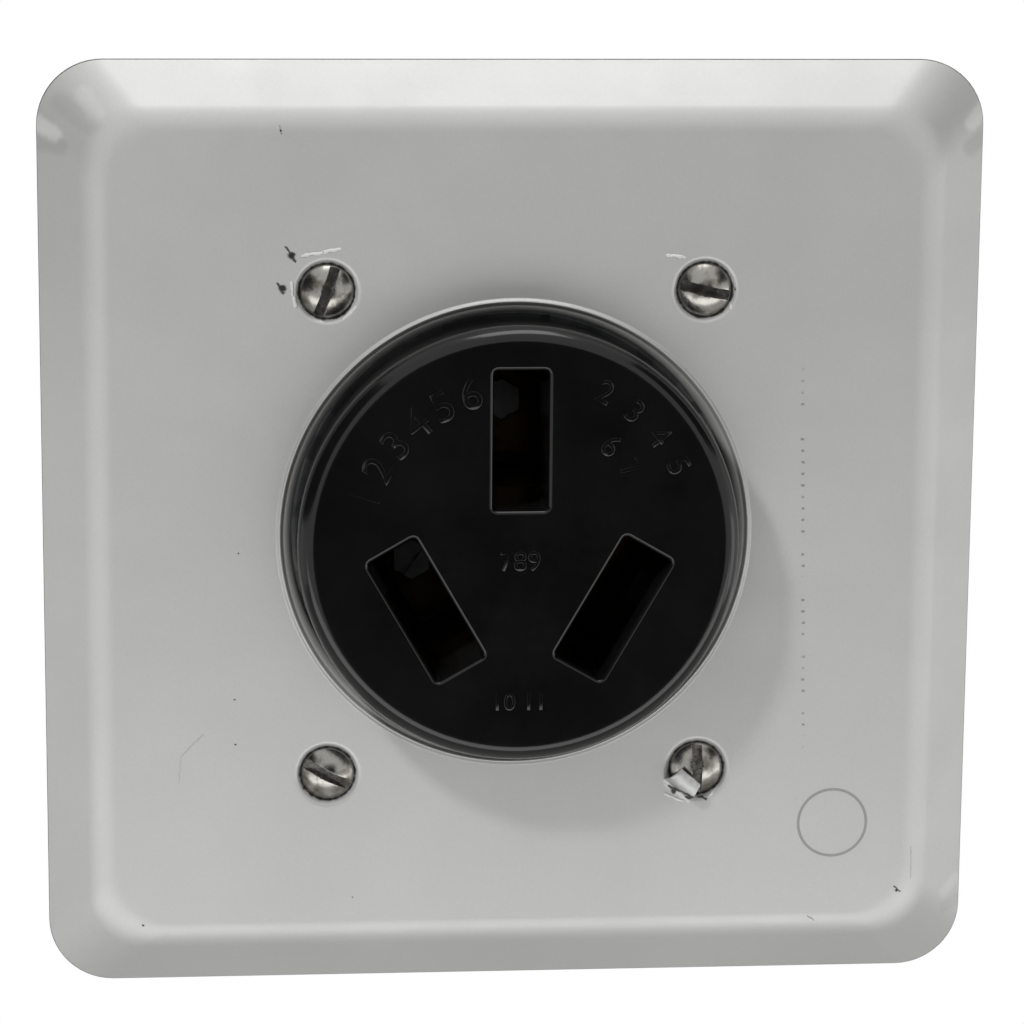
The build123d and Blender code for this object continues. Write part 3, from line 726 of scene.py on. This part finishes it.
def makePlateScrew(s, x, z, turn):
    fall = tan(radians(plate["cone"]))
    shank, head = s["shankRadius"], s["headRadius"]
    edgeY = -plate["depth"] + (plate["dimpleRadius"] - head) / fall
    footY = -plate["depth"] + (plate["dimpleRadius"] - shank) / fall
    ball = (head ** 2 + s["dome"] ** 2) / (2 * s["dome"])
    topY = edgeY - s["dome"]
    share = atan2(head, ball - s["dome"])
    profile = [(shank - s["tipEase"], s["tip"]), (shank - s["tipStep"], s["tip"] - s["tipEase"])]
    y = s["tip"] - s["threadStart"]
    while y > footY + s["threadEnd"]:
        profile += [(shank - s["crest"], y), (shank - s["root"], y - s["pitch"] / 2)]
        y -= s["pitch"]
    profile += [(shank - s["neckStep"], footY + s["neckLength"]), (shank - s["neckStep"], footY),
                (head - s["rimInset"], edgeY + s["rimDrop"]), (head - s["rimStep"], edgeY - s["rimStep"])]
    for i in range(1, s["domeSteps"] + 1):
        a = share * (1 - i / (s["domeSteps"] + 0.5))
        profile.append((ball * sin(a), topY + ball * (1 - cos(a))))
    obj = turned("plateScrew", profile, x, z, 72)
    cut(obj, [block("screwSlot", (3 * head, 2 * s["slotDepth"], s["slotWidth"]), (x, topY, z), turn)])
    softened = obj.modifiers.new("softened", "BEVEL")
    softened.width = s["edge"] * mm
    softened.segments = 2
    softened.limit_method = "ANGLE"
    softened.angle_limit = radians(50)
    applyModifiers(obj)
    facesOut(obj)
    return obj


plateScrews = joined("plateScrews", [
    makePlateScrew(plateScrew, x, z, turn) for (x, z), turn in zip(screwCorners, plateScrew["turns"])])
smooth(plateScrews, 35)
finishPiece(plateScrews, "plate_screw", ["plate_screws"])
print("plate screws done")


# moulded face: disc with a rounded edge on a neck, three slots
face = dict(
    radius=26.9, front=13.41, edge=2.1, back=1.5, neck=25.0, neckDepth=4.0, keyWidth=5.0, keyHeight=1.0,
    slotLength=17.1, slotWidth=6.65, slotCorner=0.5, slotRim=0.55,
    slots=((0.0, 13.1, 90), (-11.4, -7.7, 300), (11.4, -7.7, 60)),
    insertCircle=20.5, insertRadius=2.8, insertDepth=8.0, insertTurns=(30, 150, 270),
    chamberLength=18.0, chamberWidth=12.4, chamberDepth=3.7, overcut=1.0, backEase=0.15,
    keyOverlap=0.2, cutterLead=0.5, frontRing=0.4)


# straight prism with rounded corners, wider towards the front so that it cuts a slot with an eased rim
def slotCutter(f, x, z, turn):
    deselectAll()
    bpy.ops.mesh.primitive_plane_add(size=1, location=(0, 0, 0))
    obj = named("slotCutter")
    rim = f["slotRim"]
    obj.scale = ((f["slotLength"] + 2 * rim) * mm, (f["slotWidth"] + 2 * rim) * mm, 1)
    obj.rotation_euler = (-pi / 2, 0, 0)
    applyPlace(obj)
    editMode("VERT")
    bpy.ops.mesh.bevel(offset=(f["slotCorner"] + rim) * mm, segments=5, affect="VERTICES")
    bpy.ops.mesh.select_mode(type="FACE")
    bpy.ops.mesh.select_all(action="SELECT")
    bpy.ops.mesh.extrude_region_move(TRANSFORM_OT_translate={"value": (0, f["cutterLead"] * mm, 0)})
    steps = 4
    for i in range(steps):
        a, b = (pi / 2 * k / steps for k in (i, i + 1))
        bpy.ops.mesh.inset(thickness=rim * (sin(b) - sin(a)) * mm, depth=rim * (cos(a) - cos(b)) * mm)
    through = f["front"] + f["neckDepth"] + f["overcut"]
    bpy.ops.mesh.extrude_region_move(TRANSFORM_OT_translate={"value": (0, through * mm, 0)})
    bpy.ops.object.mode_set(mode="OBJECT")
    obj.rotation_euler = (0, -radians(turn), 0)
    obj.location = (x * mm, -(f["front"] + f["cutterLead"]) * mm, z * mm)
    applyPlace(obj)
    facesOut(obj)
    return obj


def makeFaceDisc(f):
    rounded = arc(f["radius"] - f["edge"], f["edge"] - f["front"], f["edge"], 0, 90, 10)
    ease = f["backEase"]
    foot = [(f["neck"], f["neckDepth"]), (f["neck"], -f["back"]), (f["radius"] - ease, -f["back"]),
            (f["radius"], -f["back"] - ease)]
    obj = turned("faceDisc", foot + rounded + [(f["radius"] - f["edge"] - f["frontRing"], -f["front"])], sides=160)
    cutters = [slotCutter(f, *slot) for slot in f["slots"]]
    end = f["neckDepth"] + f["overcut"]
    depth = f["chamberDepth"] + f["overcut"]
    for x, z, turn in f["slots"]:
        cutters.append(block(
            "chamber", (f["chamberLength"], depth, f["chamberWidth"]), (x, end - depth / 2, z), turn))
    length = f["insertDepth"] + f["overcut"]
    for turn in f["insertTurns"]:
        deselectAll()
        bpy.ops.mesh.primitive_cylinder_add(
            vertices=6, radius=f["insertRadius"] * mm, depth=length * mm, location=(0, 0, 0))
        hole = named("insertHole")
        hole.rotation_euler = (pi / 2, pi / 2, 0)
        hole.location = (f["insertCircle"] * cos(radians(turn)) * mm, (end - length / 2) * mm,
                         f["insertCircle"] * sin(radians(turn)) * mm)
        applyPlace(hole)
        cutters.append(hole)
    cut(obj, cutters)
    keyLength = f["back"] + f["keyOverlap"]
    key = block("key", (f["keyWidth"], keyLength, 2 * f["keyHeight"]), (0, -keyLength / 2, -f["neck"]))
    together = obj.modifiers.new("key", "BOOLEAN")
    together.operation = "UNION"
    together.solver = "EXACT"
    together.object = key
    applyModifiers(obj)
    bpy.data.objects.remove(key, do_unlink=True)
    facesOut(obj)
    smooth(obj, 30)
    return obj


faceDisc = makeFaceDisc(face)
finishPiece(faceDisc, "face", ["face_housing"])
print("face disc done,", len(faceDisc.data.polygons), "faces")


# plain raised numbers that name nothing, where the real face has raised lettering
numerals = dict(
    rise=0.09, ease=0.04,
    # digits, radius and angle of the first one, step in degrees, size
    curved=(("123456", 19.6, 161, -10.6, 5.4), ("2345", 21.4, 62, -11.5, 4.0), ("67", 16.4, 49, -13.0, 4.0)),
    # digits, x, z, size
    straight=(("789", 0.0, -1.8, 3.4), ("10 11", 0.0, -19.3, 3.0)))


def addText(word, x, z, turn, size, n):
    deselectAll()
    bpy.ops.object.text_add(location=(0, 0, 0))
    text = bpy.context.object
    text.data.body = word
    text.data.size = size * mm
    text.data.align_x = "CENTER"
    text.data.align_y = "CENTER"
    text.data.extrude = (n["rise"] - n["ease"]) * mm
    text.data.bevel_depth = n["ease"] * mm
    text.data.bevel_resolution = 1
    text.data.resolution_u = 4
    bpy.ops.object.convert(target="MESH")
    text = bpy.context.object
    text.rotation_euler = (pi / 2, -radians(turn), 0)
    text.location = (x * mm, -face["front"] * mm, z * mm)
    applyPlace(text)
    return text


def makeNumerals(n):
    pieces = []
    for word, radius, start, step, size in n["curved"]:
        for i, digit in enumerate(word):
            angle = start + step * i
            pieces.append(addText(
                digit, radius * cos(radians(angle)), radius * sin(radians(angle)), angle - 90, size, n))
    pieces += [addText(word, x, z, 0, size, n) for word, x, z, size in n["straight"]]
    obj = joined("numerals", pieces)
    facesOut(obj)
    smooth(obj, 40)
    return obj


faceNumerals = makeNumerals(numerals)
finishPiece(faceNumerals, "face")
print("numbers done")


# studio: soft box above, small key lamp above left, wide low lamp, faint glow at the right, three felt cards
studio = dict(
    lamps=(
        # name, place, size x, size y, power, aims at, mirrored by glossy surfaces
        ("softBoxTop", (0.04, -0.10, 0.62), 0.32, 0.26, 1.1, (0, 0, 0), True),
        ("keyLamp", (-0.38, -0.36, 0.54), 0.08, 0.08, 6.0, (0, 0, 0), False),
        ("lampLow", (0.0, -0.40, -0.31), 1.40, 0.20, 2.2, (0, 0, -0.04), True),
        ("glowRight", (1.0, -0.25, -0.28), 0.50, 0.40, 1.0, (0.05, 0, -0.03), True),
    ),
    cards=(
        # name, middle, size across, size up, turned about Z, colour
        ("darkCard", (0.10, -0.95, -0.06), 0.66, 0.70, 0, "#101010"),
        ("greyCardLeft", (-0.36, -0.15, 0.18), 0.60, 0.40, 90, "#1C1C1C"),
        ("greyCardRight", (0.90, -0.35, 0.60), 0.80, 0.80, 90, "#3A3A3A"),
    ),
    floorHeight=-0.50, floorSize=2.4, floorColour="#E6E6E4", worldDiffuse=0.35)


def makeStudio(s):
    for name, place, sizeX, sizeY, power, aim, mirrored in s["lamps"]:
        data = bpy.data.lights.new(name, "AREA")
        data.shape = "RECTANGLE"
        data.size = sizeX
        data.size_y = sizeY
        data.energy = power
        lamp = bpy.data.objects.new(name, data)
        lamp.location = place
        lamp.visible_glossy = mirrored
        lamp.rotation_euler = (Vector(aim) - Vector(place)).to_track_quat("-Z", "Y").to_euler()
        bpy.context.scene.collection.objects.link(lamp)

    for name, middle, across, up, turn, colour in s["cards"]:
        deselectAll()
        bpy.ops.mesh.primitive_plane_add(size=1, location=middle, rotation=(pi / 2, 0, radians(turn)))
        board = named(name)
        board.scale = (across, up, 1)
        applyPlace(board)
        material, tree, shader = newMaterial(name + "Felt", colour, 0.95)
        place = addNode(tree, "ShaderNodeTexCoord").outputs["Object"]
        fuzz = addNode(tree, "ShaderNodeTexNoise", {"Scale": patternScale(4)}, {"Vector": place})
        bump = addNode(tree, "ShaderNodeBump", {"Strength": 0.2, "Distance": 0.001}, {"Height": fuzz.outputs[0]})
        tree.links.new(bump.outputs[0], shader.inputs["Normal"])
        board.data.materials.append(material)
        board.visible_camera = False

    deselectAll()
    bpy.ops.mesh.primitive_plane_add(size=s["floorSize"], location=(0, 0, s["floorHeight"]))
    floor = named("floor")
    applyPlace(floor)
    material, tree, shader = newMaterial("paleFloor", s["floorColour"], 0.8)
    output = tree.nodes["Material Output"]
    ray = addNode(tree, "ShaderNodeLightPath")
    glow = addNode(tree, "ShaderNodeEmission", {"Color": (1, 1, 1, 1)},
                   {"Strength": ray.outputs["Is Camera Ray"]})
    both = addNode(tree, "ShaderNodeAddShader", links={0: shader.outputs[0], 1: glow.outputs[0]})
    tree.links.new(both.outputs[0], output.inputs["Surface"])
    floor.data.materials.append(material)

    world = bpy.data.worlds.new("studioWorld")
    bpy.context.scene.world = world
    world.use_nodes = True
    tree = world.node_tree
    ray = addNode(tree, "ShaderNodeLightPath")
    seen = addNode(tree, "ShaderNodeMath", {"operation": "MAXIMUM"},
                   {0: ray.outputs["Is Camera Ray"], 1: ray.outputs["Is Glossy Ray"]})
    seen = addNode(tree, "ShaderNodeMath", {"operation": "MAXIMUM"},
                   {0: seen.outputs[0], 1: ray.outputs["Is Transmission Ray"]})
    level = addNode(tree, "ShaderNodeMapRange", {"To Min": s["worldDiffuse"], "To Max": 1.0},
                    {"Value": seen.outputs[0]})
    background = tree.nodes["Background"]
    background.inputs["Color"].default_value = (1, 1, 1, 1)
    tree.links.new(level.outputs[0], background.inputs["Strength"])


makeStudio(studio)
bpy.context.scene.view_settings.view_transform = "Standard"
print("studio done")
